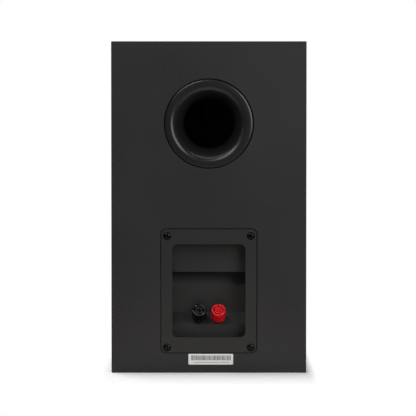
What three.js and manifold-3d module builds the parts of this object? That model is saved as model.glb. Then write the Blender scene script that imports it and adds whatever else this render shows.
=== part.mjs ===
// A two-way bookshelf speaker in a vinyl-wrapped cabinet, in millimetres. +Z is up, the baffle faces
// -Y and the rear panel +Y. The origin is the centre of the footprint, on the floor.
import * as THREE from 'three';
import { mergeVertices } from 'three/addons/utils/BufferGeometryUtils.js';
import Module from 'manifold-3d';

// ---- driving dimensions -------------------------------------------------------------------------
const CABINET = { width: 190, depth: 218, height: 323, wall: 15, baffle: 18, back: 15 };
const FIT = 0.25; // clearance between pieces that meet
const REVEAL = 0.7; // visible gap round a flush-mounted moulding
const GRILLE = {
  inset: 3, depth: 12, rail: 13, corner: 6, cloth: 0.5, bar: 12, pegRadius: 4, pegLength: 11, pegInset: 14,
};
const PORT = {
  height: 243, flange: 43.2, crest: 37, lip: 2.5, throat: 24.5, flare: 34, wall: 2.5, neck: 50, reach: 120,
};
const CUP = {
  height: 80, width: 92.9, tall: 120.6, corner: 5, flange: 3, gasket: 1,
  inner: { width: 71.4, tall: 91, corner: 5 }, wall: 2.5,
};
const CUP_FLOOR = {
  // depth below the flange's face, and height from the plate's centre, of the floor's corners
  panel: 11.5, step: 17.9, roof: 26, ridge: [21.5, 4.4], junction: [23, -22.5], lipAt: -34,
};
const CUP_SCREW = { across: 81.6, up: 108.8, drop: 0.9, head: 3.4, well: 3.95, sink: 2, shank: 1.5 };
const POST = {
  pitch: 19, tilt: THREE.MathUtils.degToRad(40), base: -28, stem: 2.9, bore: 2, collar: 5.8,
  cap: 7.1, capRim: 6.5, capFrom: 3.3, capTo: 14.6, eye: 4.7, eyeFrom: 11.3, plug: 4.1,
};
const SCREW = { head: 3.6, shank: 1.8, height: 2, length: 14, sunk: 2.2 };
const LABEL = { width: 43.6, tall: 10.5, x: -1.9, height: 13.2, thick: 0.2 };
const WOOFER = {
  height: 100, flange: 73.5, flangeThick: 5, cutout: 63, screws: 4, pitchCircle: 67.5,
  roll: [46.5, 56.5], cone: 45, coil: [12.4, 13.4], plate: 38, magnet: 40,
};
const TWEETER = {
  height: 240, flange: 52, flangeThick: 4, cutout: 37, screws: 4, pitchCircle: 44, dome: 12.7,
};
const BOARD = { width: 76, thick: 1.6, low: -9, high: 50 };
const WADDING = { thick: 12, gap: 1, foot: 60, front: -60, back: 75 };
const WIRE = 1.1;
const DRIVER_SIDES = 24; // facets round a driver and round its seat in the baffle
const PORT_SIDES = 28;

const REAR = 115;
const FRONT = REAR - CABINET.depth;
const INNER_REAR = REAR - CABINET.back;
const INNER_FRONT = FRONT + CABINET.baffle;
const GRILLE_BACK = FRONT - FIT;
const GRILLE_FRONT = GRILLE_BACK - GRILLE.depth;

const FINISH = {
  vinyl: { color: 0x2c2b2c, roughness: 0.6, metalness: 0 },
  moulding: { color: 0x2a2929, roughness: 0.5, metalness: 0 },
  baffle: { color: 0x1c1c1d, roughness: 0.55, metalness: 0 },
  blackGloss: { color: 0x0c0c0d, roughness: 0.2, metalness: 0 },
  redGloss: { color: 0xd21420, roughness: 0.2, metalness: 0 },
  brass: { color: 0xc9a14a, roughness: 0.25, metalness: 1 },
  blackScrew: { color: 0x1a1a1a, roughness: 0.35, metalness: 1 },
  steel: { color: 0x9a9c9e, roughness: 0.35, metalness: 1 },
  ferrite: { color: 0x26262a, roughness: 0.7, metalness: 0 },
  foam: { color: 0x1b1b1b, roughness: 0.95, metalness: 0 },
  wadding: { color: 0x7c7c7a, roughness: 1, metalness: 0 },
  label: { color: 0xe8e8e6, roughness: 0.5, metalness: 0 },
  cone: { color: 0x161618, roughness: 0.6, metalness: 0 },
  rubber: { color: 0x111112, roughness: 0.6, metalness: 0 },
  silk: { color: 0x19191b, roughness: 0.75, metalness: 0 },
  spider: { color: 0xb98b3a, roughness: 0.9, metalness: 0 },
  copper: { color: 0xb4672f, roughness: 0.3, metalness: 1 },
  board: { color: 0x24572f, roughness: 0.5, metalness: 0 },
  film: { color: 0xc7a53a, roughness: 0.4, metalness: 0 },
  ceramic: { color: 0xdedad0, roughness: 0.8, metalness: 0 },
  redWire: { color: 0xb3161c, roughness: 0.45, metalness: 0 },
  blackWire: { color: 0x151515, roughness: 0.45, metalness: 0 },
  cloth: { color: 0x121213, roughness: 1, metalness: 0 },
};

// ---- solids -------------------------------------------------------------------------------------
const wasm = await Module();
wasm.setup();

function solid(geometry) {
  const bare = geometry.clone();
  bare.deleteAttribute('normal');
  bare.deleteAttribute('uv');
  const merged = mergeVertices(bare, 1e-4);
  const mesh = new wasm.Mesh({
    numProp: 3,
    vertProperties: merged.getAttribute('position').array,
    triVerts: new Uint32Array(merged.getIndex().array),
  });
  return new wasm.Manifold(mesh);
}

function shapeOf(manifold) {
  const mesh = manifold.getMesh();
  const geometry = new THREE.BufferGeometry();
  geometry.setAttribute('position', new THREE.BufferAttribute(new Float32Array(mesh.vertProperties), 3));
  geometry.setIndex(new THREE.BufferAttribute(new Uint32Array(mesh.triVerts), 1));
  const flat = geometry.toNonIndexed();
  flat.computeVertexNormals();
  return flat;
}

function cut(geometry, ...tools) {
  return shapeOf(tools.reduce((body, tool) => body.subtract(solid(tool)), solid(geometry)));
}

function join(geometry, ...others) {
  return shapeOf(others.reduce((body, other) => body.add(solid(other)), solid(geometry)));
}

function overlap(first, second) {
  return shapeOf(solid(first).intersect(solid(second)));
}

function box(width, depth, height, x = 0, y = 0, z = 0) {
  return new THREE.BoxGeometry(width, depth, height).translate(x, y, z);
}

// A ring or disc turned about Y. Its profile is [radius, distance along Y] pairs, and it is closed
// here when it doesn't start and end on the axis.
function turned(profile, segments = 16) {
  const points = profile.map(([radius, along]) => new THREE.Vector2(radius, along));
  if (profile[0][0] > 0) points.push(points[0].clone());
  const area = points.reduce((sum, point, index) => {
    const next = points[(index + 1) % points.length];
    return sum + point.x * next.y - next.x * point.y;
  }, 0);
  if (area < 0) points.reverse();
  return new THREE.LatheGeometry(points, segments);
}

function disc(radius, from, to, segments = 16) {
  return turned([[0, from], [radius, from], [radius, to], [0, to]], segments);
}

function ring(inner, outer, from, to, segments = 16) {
  return turned([[inner, from], [outer, from], [outer, to], [inner, to]], segments);
}

function arc(centreRadius, centreAlong, radius, fromDegrees, toDegrees, steps) {
  return Array.from({ length: steps + 1 }, (_, step) => {
    const angle = THREE.MathUtils.degToRad(fromDegrees + ((toDegrees - fromDegrees) * step) / steps);
    return [centreRadius + radius * Math.cos(angle), centreAlong + radius * Math.sin(angle)];
  });
}

function roundedRectangle(width, tall, radius) {
  const [x, y] = [width / 2, tall / 2];
  const outline = new THREE.Shape();
  outline.moveTo(-x + radius, -y);
  outline.absarc(x - radius, -y + radius, radius, -Math.PI / 2, 0);
  outline.absarc(x - radius, y - radius, radius, 0, Math.PI / 2);
  outline.absarc(-x + radius, y - radius, radius, Math.PI / 2, Math.PI);
  outline.absarc(-x + radius, -y + radius, radius, Math.PI, Math.PI * 1.5);
  return outline;
}

// A flat piece standing in the XZ plane, between two values of Y.
function upright(shape, from, to, curveSegments = 3) {
  const settings = { depth: to - from, bevelEnabled: false, curveSegments };
  const geometry = new THREE.ExtrudeGeometry(shape, settings);
  return geometry.rotateX(Math.PI / 2).translate(0, to, 0);
}

// A piece with one outline in the YZ plane, carried across the width.
function across(points, width) {
  const shape = new THREE.Shape(points.map(([y, z]) => new THREE.Vector2(y, z)));
  const geometry = new THREE.ExtrudeGeometry(shape, { depth: width, bevelEnabled: false });
  const turn = new THREE.Matrix4().set(0, 0, 1, 0, 1, 0, 0, 0, 0, 1, 0, 0, 0, 0, 0, 1);
  return geometry.applyMatrix4(turn).translate(-width / 2, 0, 0);
}

function cable(points) {
  const path = new THREE.CatmullRomCurve3(points.map((point) => new THREE.Vector3(...point)));
  const section = new THREE.Shape();
  section.absarc(0, 0, WIRE, 0, Math.PI * 2);
  return new THREE.ExtrudeGeometry(section, { steps: 12, curveSegments: 4, extrudePath: path });
}

const speaker = new THREE.Group();

function node(name, geometry, finish, parent = speaker) {
  const mesh = new THREE.Mesh(geometry, new THREE.MeshStandardMaterial(FINISH[finish]));
  mesh.name = name;
  parent.add(mesh);
  return mesh;
}

// The corners of a rectangle round the origin, as [name, x, z].
function corners(wide, tall) {
  return [
    ['upper_left', -wide / 2, tall / 2],
    ['upper_right', wide / 2, tall / 2],
    ['lower_left', -wide / 2, -tall / 2],
    ['lower_right', wide / 2, -tall / 2],
  ];
}

// ---- cabinet ------------------------------------------------------------------------------------
// Four wrapped panels meet in mitres. The baffle and the rear panel close the box.
function addCabinet() {
  const [half, tall, wall] = [CABINET.width / 2, CABINET.height, CABINET.wall];
  const mitre = FIT * Math.SQRT1_2;
  const long = [INNER_FRONT + FIT, INNER_REAR - FIT];
  const outlines = {
    bottom_panel: [[-half + mitre, 0], [half - mitre, 0], [half - wall - mitre, wall],
      [wall + mitre - half, wall]],
    right_panel: [[half, mitre], [half, tall - mitre], [half - wall, tall - wall - mitre],
      [half - wall, wall + mitre]],
    top_panel: [[half - mitre, tall], [mitre - half, tall], [wall + mitre - half, tall - wall],
      [half - wall - mitre, tall - wall]],
    left_panel: [[-half, tall - mitre], [-half, mitre], [wall - half, wall + mitre],
      [wall - half, tall - wall - mitre]],
  };
  for (const [name, points] of Object.entries(outlines)) {
    const shape = new THREE.Shape(points.map(([x, z]) => new THREE.Vector2(x, z)));
    node(name, upright(shape, ...long), 'vinyl');
  }
  addRearPanel();
  addBaffle();
  addWadding();
}

function addRearPanel() {
  const middle = CABINET.height / 2;
  const slab = box(CABINET.width, CABINET.back, CABINET.height, 0, REAR - CABINET.back / 2, middle);
  const rebate = CUP.flange + CUP.gasket + 2 * FIT;
  const clear = CUP.wall + 2 * FIT;
  const portSeat = disc(PORT.flange + REVEAL, REAR - PORT.lip - FIT, REAR + 1, PORT_SIDES);
  const portHole = disc(PORT.crest + 1, INNER_REAR - 1, REAR + 1, PORT_SIDES);
  const cupSeat = roundedRectangle(CUP.width + 2 * REVEAL, CUP.tall + 2 * REVEAL, CUP.corner + REVEAL);
  const cupHole = roundedRectangle(
    CUP.inner.width + 2 * clear, CUP.inner.tall + 2 * clear, CUP.inner.corner + clear);
  const pilots = corners(CUP_SCREW.across, CUP_SCREW.up).map(([, x, z]) =>
    disc(CUP_SCREW.shank + FIT, INNER_REAR + 2, REAR + 1, 8)
      .translate(x, 0, CUP.height + z - CUP_SCREW.drop));
  node('rear_panel', cut(
    slab,
    portSeat.translate(0, 0, PORT.height),
    portHole.translate(0, 0, PORT.height),
    upright(cupSeat, REAR - rebate, REAR + 1).translate(0, 0, CUP.height),
    upright(cupHole, INNER_REAR - 1, REAR + 1).translate(0, 0, CUP.height),
    ...pilots,
  ), 'vinyl');
}

function pegPlaces() {
  const spanX = CABINET.width - 2 * GRILLE.inset - GRILLE.pegInset;
  const spanZ = CABINET.height - 2 * GRILLE.inset - GRILLE.pegInset;
  return corners(spanX, spanZ).map(([, x, z]) => [x, z + CABINET.height / 2]);
}

function screwPlaces(driver) {
  return Array.from({ length: driver.screws }, (_, index) => {
    const angle = ((index + 0.5) / driver.screws) * Math.PI * 2;
    return [driver.pitchCircle * Math.cos(angle), driver.height + driver.pitchCircle * Math.sin(angle)];
  });
}

function addBaffle() {
  const { width, baffle, height } = CABINET;
  const slab = box(width, baffle, height, 0, FRONT + baffle / 2, height / 2);
  const tools = [];
  for (const driver of [WOOFER, TWEETER]) {
    const seat = disc(driver.flange + FIT, FRONT - 1, FRONT + driver.flangeThick + FIT, DRIVER_SIDES);
    tools.push(seat.translate(0, 0, driver.height));
    const cutout = disc(driver.cutout, FRONT - 1, INNER_FRONT + 1, DRIVER_SIDES);
    tools.push(cutout.translate(0, 0, driver.height));
    const pilot = FRONT + SCREW.sunk + SCREW.length + 0.5;
    for (const [x, z] of screwPlaces(driver)) {
      tools.push(disc(SCREW.shank + FIT, FRONT - 1, pilot, 8).translate(x, 0, z));
    }
  }
  const pegSocket = disc(GRILLE.pegRadius + FIT, FRONT - 1, FRONT + GRILLE.pegLength + FIT, 12);
  for (const [x, z] of pegPlaces()) {
    tools.push(pegSocket.clone().translate(x, 0, z));
  }
  node('front_baffle', cut(slab, ...tools), 'baffle');
}

// Fibre lining against the side walls and the top, behind the drivers.
function addWadding() {
  const { thick, gap, foot, front, back } = WADDING;
  const outer = CABINET.width / 2 - CABINET.wall - gap;
  const roof = CABINET.height - CABINET.wall - gap;
  const inner = outer - thick;
  const outline = [
    [-outer, foot], [-inner, foot], [-inner, roof - thick], [inner, roof - thick],
    [inner, foot], [outer, foot], [outer, roof], [-outer, roof],
  ];
  const shape = new THREE.Shape(outline.map(([x, z]) => new THREE.Vector2(x, z)));
  node('wadding', upright(shape, front, back), 'wadding');
}

// ---- reflex port --------------------------------------------------------------------------------
// A quarter ellipse that opens from a neck out to a crest, as [radius, distance along Y] pairs.
function trumpet(neck, crest, deep, shallow, steps) {
  return Array.from({ length: steps + 1 }, (_, step) => {
    const turn = (step / steps) * (Math.PI / 2);
    return [crest - (crest - neck) * Math.cos(turn), (deep - shallow) * Math.sin(turn) - deep];
  });
}

function addPort() {
  const { flange, crest, lip, throat, flare, wall, neck, reach } = PORT;
  const edge = 0.6;
  const profile = [
    [flange, -edge], [flange - edge, 0], ...trumpet(throat, crest, flare, 0, 7).reverse(),
    [throat, -neck], [throat + wall, -neck], ...trumpet(throat + wall, crest, flare, lip, 5),
    [flange, -lip],
  ];
  node('port_flare', turned(profile, PORT_SIDES), 'moulding').position.set(0, REAR, PORT.height);
  const bore = throat + wall + FIT;
  const tube = ring(bore, bore + wall, -reach, -flare - 4, PORT_SIDES);
  node('port_tube', tube, 'moulding').position.set(0, REAR, PORT.height);
}

// ---- terminal cup -------------------------------------------------------------------------------
// Outlines are [Y, Z] from the centre of the cup's face, and Y is negative below the face.
function cupFloor() {
  const { panel, step, roof, ridge, junction, lipAt } = CUP_FLOOR;
  const lip = junction[0] - (junction[1] - lipAt) * Math.tan(POST.tilt);
  return { panel, step, roof, ridge, junction, lip, lipAt };
}

function addCup() {
  const { width, tall, corner, flange, inner, wall } = CUP;
  const floor = cupFloor();
  const [halfIn, halfOut] = [inner.tall / 2, inner.tall / 2 + wall];
  const slopeShift = [wall * 1.08 * Math.cos(POST.tilt), wall * 1.08 * Math.sin(POST.tilt)];
  const hollow = [
    [1, halfIn], [-floor.panel, halfIn], [-floor.panel, floor.step], [-floor.roof, floor.step],
    [-floor.ridge[0], floor.ridge[1]], [-floor.junction[0], floor.junction[1]],
    [-floor.lip, floor.lipAt], [-floor.lip, -halfIn], [1, -halfIn],
  ];
  const body = [
    [-flange + 1, halfOut], [-floor.panel - wall, halfOut], [-floor.panel - wall, floor.step + wall],
    [-floor.roof - wall, floor.step + wall], [-floor.roof - wall, floor.step - 1],
    [-floor.ridge[0] - wall, floor.ridge[1]],
    [-floor.junction[0] - slopeShift[0], floor.junction[1] - slopeShift[1]],
    [-floor.lip - slopeShift[0], floor.lipAt - slopeShift[1]],
    [-floor.lip - slopeShift[0], -halfOut], [-flange + 1, -halfOut],
  ];
  const outer = roundedRectangle(inner.width + 2 * wall, inner.tall + 2 * wall, inner.corner + wall);
  const opening = roundedRectangle(inner.width, inner.tall, inner.corner);
  const shell = overlap(across(body, inner.width + 2 * wall), upright(outer, -40, 0));
  const plate = upright(roundedRectangle(width, tall, corner), -flange, 0);
  const cavity = overlap(across(hollow, inner.width), upright(opening, -40, 1));
  const wells = [];
  for (const [, x, z] of corners(CUP_SCREW.across, CUP_SCREW.up)) {
    wells.push(disc(CUP_SCREW.well, -CUP_SCREW.sink, 1, 12).translate(x, 0, z - CUP_SCREW.drop));
    wells.push(disc(CUP_SCREW.shank + FIT, -flange - 1, 1, 8).translate(x, 0, z - CUP_SCREW.drop));
  }
  for (const side of [-1, 1]) {
    const hole = disc(POST.stem + FIT, -8, 3, 12).rotateX(POST.tilt);
    wells.push(hole.translate((side * POST.pitch) / 2, ...postBase()));
  }
  const cup = cut(join(shell, plate), cavity, ...wells);
  node('terminal_cup', cup, 'moulding').position.set(0, REAR, CUP.height);

  const seal = cut(
    upright(roundedRectangle(width - 1, tall - 1, corner), -flange - FIT - CUP.gasket, -flange - FIT),
    upright(roundedRectangle(inner.width + 2 * wall + 1, inner.tall + 2 * wall + 1, inner.corner + wall),
      -9, 0),
    ...corners(CUP_SCREW.across, CUP_SCREW.up).map(([, x, z]) =>
      disc(CUP_SCREW.shank + FIT, -9, 0, 8).translate(x, 0, z - CUP_SCREW.drop)),
  );
  node('cup_gasket', seal, 'foam').position.set(0, REAR, CUP.height);
  for (const [place, x, z] of corners(CUP_SCREW.across, CUP_SCREW.up)) {
    const seat = REAR - CUP_SCREW.sink + FIT;
    const screw = screwGeometry(CUP_SCREW.head, CUP_SCREW.shank, CUP_SCREW.sink - 2 * FIT, 10);
    node(`cup_screw_${place}`, screw, 'blackScrew').position.set(x, seat, CUP.height + z - CUP_SCREW.drop);
  }
}

// The centre of a post's seat on the sloping wall, from the centre of the cup's face.
function postBase() {
  const floor = cupFloor();
  const depth = floor.junction[0] - (floor.junction[1] - POST.base) * Math.tan(POST.tilt);
  return [-depth, POST.base];
}

// A screw along +Y out of its hole, with a domed head on the plane y = 0 and a cross recess.
function screwGeometry(head, shank, height, length) {
  const dome = [[head, 0], [head, height * 0.45], [head * 0.72, height * 0.85], [0, height]];
  const body = turned([[0, -length], [shank, -length + 2], [shank, 0], ...dome], 10);
  const slot = head * 0.5;
  return cut(
    body,
    box(slot * 2, height * 1.2, head * 0.22, 0, height, 0),
    box(head * 0.22, height * 1.2, slot * 2, 0, height, 0),
  );
}

// ---- binding posts ------------------------------------------------------------------------------
// Each post's frame has +Y along its stem, out of the sloping wall.
function postFrame(side) {
  const frame = new THREE.Group();
  const [y, z] = postBase();
  frame.position.set((side * POST.pitch) / 2, REAR + y, CUP.height + z);
  frame.rotation.x = POST.tilt;
  speaker.add(frame);
  return frame;
}

function hexagonNut(radius, from, to, hole) {
  const prism = new THREE.CylinderGeometry(radius, radius, to - from, 6).translate(0, (from + to) / 2, 0);
  return cut(prism, disc(hole, from - 1, to + 1, 12));
}

function addPost(colour, side, finish) {
  const frame = postFrame(side);
  const { stem, bore, collar, cap, capRim, capFrom, capTo, eye, eyeFrom, plug } = POST;
  const running = FIT + 0.1;
  const stemTop = eyeFrom - FIT;
  const rod = turned([
    [0, -9.5], [stem, -9.5], [stem, 0.3], [collar, 0.3], [collar, 1.3], [stem, 1.3],
    [stem, stemTop], [bore, stemTop], [bore, 2], [0, 2],
  ], 16);
  const wireHole = new THREE.CylinderGeometry(1.5, 1.5, 3 * stem, 8);
  wireHole.rotateZ(Math.PI / 2).translate(0, 5.6, 0);
  node(`${colour}_post_stem`, cut(rod, wireHole), 'brass', frame);
  node(`${colour}_post_nut`, hexagonNut(5.4, -6.2, -3.1, stem + FIT), 'brass', frame);
  node(`${colour}_post_washer`, ring(stem + running, collar + 0.6, 1.6, capFrom - 0.3, 16), 'brass', frame);
  const knob = turned([
    [stem + running, capFrom], [cap, capFrom], [cap, capTo - 1.4], [capRim, capTo],
    [eye, capTo], [eye, eyeFrom], [stem + running, eyeFrom],
  ], 24);
  const flutes = Array.from({ length: 12 }, (_, index) => {
    const angle = ((index + 0.5) / 12) * Math.PI * 2;
    const groove = new THREE.CylinderGeometry(0.8, 0.8, capTo - capFrom - 4, 4);
    const out = cap + 0.35;
    return groove.translate(out * Math.cos(angle), (capFrom + capTo) / 2 - 0.3, out * Math.sin(angle));
  });
  node(`${colour}_post_cap`, cut(knob, ...flutes), finish, frame);
  const stopper = turned([
    [0, 5.5], [bore - 0.5, 5.5], [bore - 0.3, 6.5], [bore - 0.3, eyeFrom + 0.3], [plug, eyeFrom + 0.3],
    [plug, capTo - 1], [plug - 1, capTo - 0.2], [0, capTo + 0.1],
  ], 16);
  node(`${colour}_post_plug`, stopper, finish, frame);
}

// ---- crossover ----------------------------------------------------------------------------------
// The board is parallel to the sloping wall and is carried on the two stems behind their nuts.
function addCrossover() {
  const frame = new THREE.Group();
  const [y, z] = postBase();
  frame.position.set(0, REAR + y, CUP.height + z);
  frame.rotation.x = POST.tilt;
  speaker.add(frame);
  const { width, thick, low, high } = BOARD;
  const face = -6.5 - thick;
  const holes = [-1, 1].map((side) =>
    disc(POST.stem + FIT, -12, 0, 10).translate((side * POST.pitch) / 2, 0, 0));
  const blank = box(width, thick, high - low, 0, face + thick / 2, (low + high) / 2);
  node('crossover_board', cut(blank, ...holes), 'board', frame);
  const lift = face - 0.3;
  node('woofer_inductor', ring(7, 18, lift - 17, lift, 14), 'copper', frame).position.set(-18, 0, 29);
  node('tweeter_inductor', ring(5, 12, lift - 12, lift, 12), 'copper', frame).position.set(16, 0, 36);
  const can = (radius, length) =>
    new THREE.CylinderGeometry(radius, radius, length, 12).rotateZ(Math.PI / 2);
  node('woofer_capacitor', can(6.5, 30), 'film', frame).position.set(20, lift - 6.5, 14);
  node('tweeter_capacitor', can(5, 24), 'film', frame).position.set(-26, lift - 5, 4);
  node('tweeter_resistor', box(22, 6, 6), 'ceramic', frame).position.set(25, lift - 3, 1.5);
}

// Two leads to each driver, from the board's upper edge.
function addWires() {
  const boardTop = [0, 61, 88];
  for (const [colour, side] of [['red', -1], ['black', 1]]) {
    const finish = `${colour}Wire`;
    node(`woofer_wire_${colour}`, cable([
      [side * 6, boardTop[1], boardTop[2]], [side * 9, 40, 112], [side * 14, 5, 140],
      [side * 13, -30, 150], [side * 8, -57, 143.5],
    ]), finish);
    node(`tweeter_wire_${colour}`, cable([
      [side * 12, boardTop[1], boardTop[2]], [side * 40, 40, 120], [side * 44, -5, 190],
      [side * 20, -30, 252], [side * 9, -50, 254 + side * 3], [side * 6, -71, 242],
    ]), finish);
  }
}

// ---- drivers ------------------------------------------------------------------------------------
// Each driver's frame has +Y into the cabinet, with y = 0 on the baffle's face.
function addDriverScrews(name, driver) {
  screwPlaces(driver).forEach(([x, z], index) => {
    const screw = screwGeometry(SCREW.head, SCREW.shank, SCREW.height, SCREW.length).rotateX(Math.PI);
    node(`${name}_screw_${index + 1}`, screw, 'blackScrew').position.set(x, FRONT + SCREW.sunk, z);
  });
}

function screwHoles(driver) {
  return screwPlaces(driver).flatMap(([x, z]) => [
    disc(SCREW.head + FIT, -5, SCREW.sunk + FIT, 12).translate(x, 0, z - driver.height),
    disc(SCREW.shank + FIT, -5, driver.flangeThick + 5, 8).translate(x, 0, z - driver.height),
  ]);
}

function addWoofer() {
  const frame = new THREE.Group();
  frame.position.set(0, FRONT, WOOFER.height);
  speaker.add(frame);
  const { flange, flangeThick, roll, cone, coil, plate, magnet } = WOOFER;
  const basket = turned([
    [flange, 0], [flange, flangeThick], [61.5, flangeThick], [59, 10], [44, 38], [42, 42], [15, 42],
    [15, 39.5], [38.5, 39.5], [38.5, 32.5], [41, 32.5], [56.5, 8], [58, 5], [56.8, 5], [56.8, 3],
    [62.3, 3], [62.3, 0],
  ], DRIVER_SIDES);
  const windows = [0, 1, 2, 3].map((index) =>
    box(46, 17, 30, 0, 21, 52).rotateY((index * Math.PI) / 2));
  node('woofer_basket', cut(basket, ...windows, ...screwHoles(WOOFER)), 'blackScrew', frame);
  const [inner, outer] = roll;
  const middle = (inner + outer) / 2;
  const radius = (outer - inner) / 2;
  node('woofer_surround', turned([
    [62, 2.7], [outer, 2.7], ...arc(middle, 2.7, radius - 0.8, 0, -180, 4), [inner - 1.5, 2.7],
    [inner - 1.5, 1.9], ...arc(middle, 1.9, radius, -180, 0, 4), [62, 1.9],
  ], DRIVER_SIDES), 'rubber', frame);
  node('woofer_cone', turned([
    [cone, 3.1], [cone + 2, 3.1], [cone + 2, 4], [cone - 0.4, 4], [30, 16.4], [coil[1] + 0.4, 28],
    [coil[1] + 0.4, 27], [29.4, 15.4],
  ], DRIVER_SIDES), 'cone', frame);
  node('woofer_dust_cap', turned([
    [0, 16.8], ...arc(0, 34.5, 17.7, -78, -33, 3), ...arc(0, 34.5, 17, -33, -78, 3), [0, 17.5],
  ], 16), 'cone', frame);
  node('woofer_voice_coil', ring(...coil, 26, 50, 20), 'copper', frame);
  node('woofer_spider', turned([
    [coil[1] + 0.3, 31], [20, 30], [24, 32], [28, 30], [32, 32], [35, 31], [38.2, 31],
    [38.2, 31.7], [35, 31.7], [32, 32.7], [28, 30.7], [24, 32.7], [20, 30.7], [coil[1] + 0.3, 31.7],
  ], 16), 'spider', frame);
  node('woofer_top_plate', ring(coil[1] + 0.6, plate, 42.3, 47.3, 20), 'steel', frame);
  node('woofer_magnet', ring(20, magnet, 47.6, 61.6, 20), 'ferrite', frame);
  node('woofer_yoke', turned([
    [0, 42], [coil[0] - 0.6, 42], [coil[0] - 0.6, 61.9], [plate, 61.9], [plate, 66.9], [0, 66.9],
  ], 20), 'steel', frame);
  addDriverScrews('woofer', WOOFER);
}

function addTweeter() {
  const frame = new THREE.Group();
  frame.position.set(0, FRONT, TWEETER.height);
  speaker.add(frame);
  const { flange, flangeThick, dome } = TWEETER;
  const faceplate = turned([
    [flange, 0], [flange, flangeThick], [30, flangeThick], [20, 7.5], [16.4, 7.5], [16.4, 5],
    [20, 3], [27, 0],
  ], DRIVER_SIDES);
  node('tweeter_faceplate', cut(faceplate, ...screwHoles(TWEETER)), 'baffle', frame);
  node('tweeter_surround', turned([
    [dome + 0.4, 7.6], ...arc(dome + 1.8, 7.4, 1.1, -180, 0, 3), [16, 7.6], [16, 8],
    ...arc(dome + 1.8, 8, 0.7, 0, -180, 3), [dome + 0.4, 8],
  ], 16), 'silk', frame);
  node('tweeter_dome', turned([
    [0, 1.9], ...arc(0, 15, 13.1, -80, -28, 3), [dome - 0.6, 9], ...arc(0, 15, 12.5, -32, -80, 3), [0, 2.5],
  ], 16), 'silk', frame);
  node('tweeter_voice_coil', ring(dome - 1, dome - 0.4, 9.3, 14, 20), 'copper', frame);
  node('tweeter_motor', turned([
    [0, 10], [dome - 1.6, 10], [dome - 1.6, 19], [dome + 0.6, 19],
    [dome + 0.6, 8.6], [19, 8.6], [30, 9.5], [34, 9.5], [34, 30], [0, 30],
  ], 20), 'steel', frame);
  addDriverScrews('tweeter', TWEETER);
}

// ---- grille -------------------------------------------------------------------------------------
function addGrille() {
  const { inset, rail, corner, cloth, bar, pegRadius, pegLength } = GRILLE;
  const [width, tall] = [CABINET.width - 2 * inset, CABINET.height - 2 * inset];
  const [middle, front] = [CABINET.height / 2, GRILLE_FRONT + cloth + FIT];
  const trim = 2 * (cloth + FIT);
  const outline = roundedRectangle(width - trim, tall - trim, corner);
  const crossing = (WOOFER.height + WOOFER.flange + TWEETER.height - TWEETER.flange) / 2 - middle;
  const clearTop = tall / 2 - rail;
  for (const [low, high] of [[-clearTop, crossing - bar / 2], [crossing + bar / 2, clearTop]]) {
    const hole = roundedRectangle(width - 2 * rail, high - low, corner);
    const points = hole.getPoints(4).map((point) => new THREE.Vector2(point.x, point.y + (low + high) / 2));
    outline.holes.push(new THREE.Path(points));
  }
  const pegs = pegPlaces().map(([x, z]) =>
    disc(pegRadius, GRILLE_BACK - 1, FRONT + pegLength - 1, 10).translate(x, 0, z - middle));
  const hoop = join(upright(outline, front, GRILLE_BACK), ...pegs);
  node('grille_frame', hoop, 'moulding').position.z = middle;
  const skin = cut(
    upright(roundedRectangle(width, tall, corner + trim / 2), GRILLE_FRONT, GRILLE_BACK - 1),
    upright(roundedRectangle(width - 2 * cloth, tall - 2 * cloth, corner + FIT), GRILLE_FRONT + cloth,
      GRILLE_BACK),
  );
  node('grille_cloth', skin, 'cloth').position.z = middle;
}

function addLabel() {
  const back = REAR + 0.05;
  const sticker = upright(roundedRectangle(LABEL.width, LABEL.tall, 0.8), back, back + LABEL.thick);
  node('rear_label', sticker, 'label').position.set(LABEL.x, 0, LABEL.height);
}

addCabinet();
addPort();
addCup();
addPost('red', -1, 'redGloss');
addPost('black', 1, 'blackGloss');
addLabel();
addCrossover();
addWires();
addWoofer();
addTweeter();
addGrille();

export default speaker;
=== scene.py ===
"""A two-way bookshelf speaker seen from behind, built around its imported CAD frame, in metres."""
import math
import random

import bmesh
import bpy
from mathutils import Matrix, Vector, noise


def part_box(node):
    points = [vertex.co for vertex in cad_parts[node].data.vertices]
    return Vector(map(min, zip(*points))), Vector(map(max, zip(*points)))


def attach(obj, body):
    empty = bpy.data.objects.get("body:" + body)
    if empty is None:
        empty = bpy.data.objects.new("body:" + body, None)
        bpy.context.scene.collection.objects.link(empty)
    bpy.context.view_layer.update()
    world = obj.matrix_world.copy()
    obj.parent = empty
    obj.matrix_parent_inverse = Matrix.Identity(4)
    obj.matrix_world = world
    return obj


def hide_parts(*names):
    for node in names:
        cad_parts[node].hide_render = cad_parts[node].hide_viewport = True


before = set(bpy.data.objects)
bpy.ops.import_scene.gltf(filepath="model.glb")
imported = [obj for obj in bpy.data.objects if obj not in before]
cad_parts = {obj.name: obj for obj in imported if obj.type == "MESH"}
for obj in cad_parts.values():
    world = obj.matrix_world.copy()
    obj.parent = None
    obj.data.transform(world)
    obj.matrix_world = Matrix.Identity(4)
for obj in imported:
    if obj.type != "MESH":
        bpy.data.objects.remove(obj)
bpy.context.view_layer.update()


# ---- Cabinet sleeve --------------------------------------------------------------------------------
# The top, bottom and sides are one board with a charcoal vinyl wrap, grooved on the back and folded
# round into a sleeve, so the wrap runs unbroken over the four long edges.
MM = 0.001
FACING, PLATE_FACE, WRAP_FACE = 0.9999, 6e-5, 1e-3


def solid(name, vertices, faces, material):
    """A closed mesh object at the origin, smooth except where two faces meet at a clear angle."""
    mesh = bpy.data.meshes.new(name)
    mesh.from_pydata([tuple(v) for v in vertices], [], faces)
    return finished(name, mesh, material)


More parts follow.
